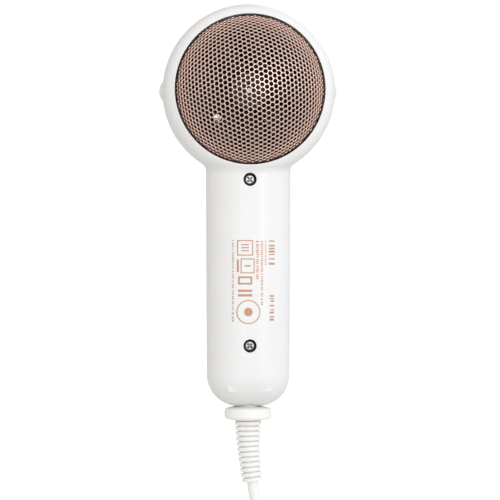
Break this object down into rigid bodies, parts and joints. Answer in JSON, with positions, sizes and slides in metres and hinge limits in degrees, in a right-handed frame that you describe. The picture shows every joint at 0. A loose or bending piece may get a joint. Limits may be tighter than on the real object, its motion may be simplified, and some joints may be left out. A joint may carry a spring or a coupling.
{
  "type": "hair dryer",
  "caption": "Compact upright hair dryer with a domed perforated metal intake grille, straight handle, concentrator nozzle, and a coiled mains lead with its plug.",
  "frame": {"origin": "middle of the grip, on the handle's centre line, 95 mm below the barrel's axis", "axes": "+Z from the handle up to the head, +Y the way the air blows, out of the nozzle, +X to the right seen from behind"},
  "size_m": [0.0953, 0.1948, 0.2733],
  "materials": {
    "housing_white": "glossy white ABS",
    "rose_gold": "rose gold plated sheet",
    "ring_brown": "dark brown moulded",
    "inner_black": "black heat-resistant moulding",
    "fan_grey": "dark grey nylon",
    "steel": "zinc plated",
    "screw_steel": "dark zinc plated",
    "black_steel": "blackened steel",
    "magnet": "ferrite",
    "copper": "enamelled copper and laminations",
    "mica": "pressed mica",
    "nichrome": "resistance wire",
    "board": "phenolic board",
    "wire": "insulated wire",
    "cord_white": "soft white PVC",
    "tie": "white tie",
    "pin_nickel": "nickel plated brass",
    "capacitor": "yellow box capacitor"
  },
  "bodies": {
    "housing": {"rear_housing": "housing_white", "front_housing": "housing_white", "housing_screws": "screw_steel", "screw_washers": "black_steel", "barrel_trim_ring": "rose_gold", "fan_duct": "inner_black", "motor_can": "steel", "motor_magnets": "magnet", "motor_end_cap": "inner_black", "rectifier_board": "board", "mica_sleeve": "mica", "mica_cross": "mica", "heating_coil": "nichrome", "thermal_cutout": "steel", "thermal_fuse": "steel", "outlet_grille": "inner_black", "control_plate": "housing_white", "switch_body": "inner_black", "switch_carrier": "board", "cool_shot_microswitch": "inner_black", "cool_shot_spring": "steel", "noise_capacitor": "capacitor", "supply_wires": "wire", "heater_wires": "wire", "cord_boot": "cord_white", "cord_tail": "cord_white", "cord_clamp": "inner_black", "clamp_screws": "steel", "cord_lead": "cord_white", "cord_plug_end": "cord_white", "cord_coil": "cord_white", "cord_tie": "tie", "plug_body": "cord_white", "plug_pins": "pin_nickel"},
    "rotor": {"fan_impeller": "fan_grey", "motor_shaft": "steel", "motor_armature": "copper"},
    "grille": {"intake_grille": "rose_gold", "grille_ring": "ring_brown", "grille_snap_fingers": "ring_brown"},
    "left_button": {"release_button_left": "housing_white"},
    "right_button": {"release_button_right": "housing_white"},
    "nozzle": {"concentrator_nozzle": "housing_white"},
    "speed_knob": {"switch_knob": "rose_gold", "switch_lever": "inner_black"},
    "cool_button": {"cool_shot_button": "rose_gold"}
  },
  "joints": [
    {"name": "fan_spin", "type": "hinge", "parent": "housing", "child": "rotor", "pos_m": [0, 0, 0.095], "axis": [0, 1, 0], "continuous": true},
    {"name": "grille_pull", "type": "slide", "parent": "housing", "child": "grille", "axis": [0, -1, 0], "range_m": [0, 0.03], "deforming": ["grille_snap_fingers"]},
    {"name": "left_release", "type": "slide", "parent": "housing", "child": "left_button", "axis": [1, 0, 0], "range_m": [0, 0.0016], "stiffness_N_per_m": 900, "deforming": ["grille_snap_fingers"]},
    {"name": "right_release", "type": "slide", "parent": "housing", "child": "right_button", "axis": [-1, 0, 0], "range_m": [0, 0.0016], "stiffness_N_per_m": 900, "deforming": ["grille_snap_fingers"]},
    {"name": "nozzle_turn", "type": "hinge", "parent": "housing", "child": "nozzle", "pos_m": [0, 0, 0.095], "axis": [0, 1, 0], "continuous": true},
    {"name": "speed_slide", "type": "slide", "parent": "housing", "child": "speed_knob", "axis": [0, 0, 1], "range_m": [0, 0.01]},
    {"name": "cool_press", "type": "slide", "parent": "housing", "child": "cool_button", "axis": [0, -1, 0], "range_m": [0, 0.002], "stiffness_N_per_m": 900, "deforming": ["cool_shot_spring"]}
  ]
}
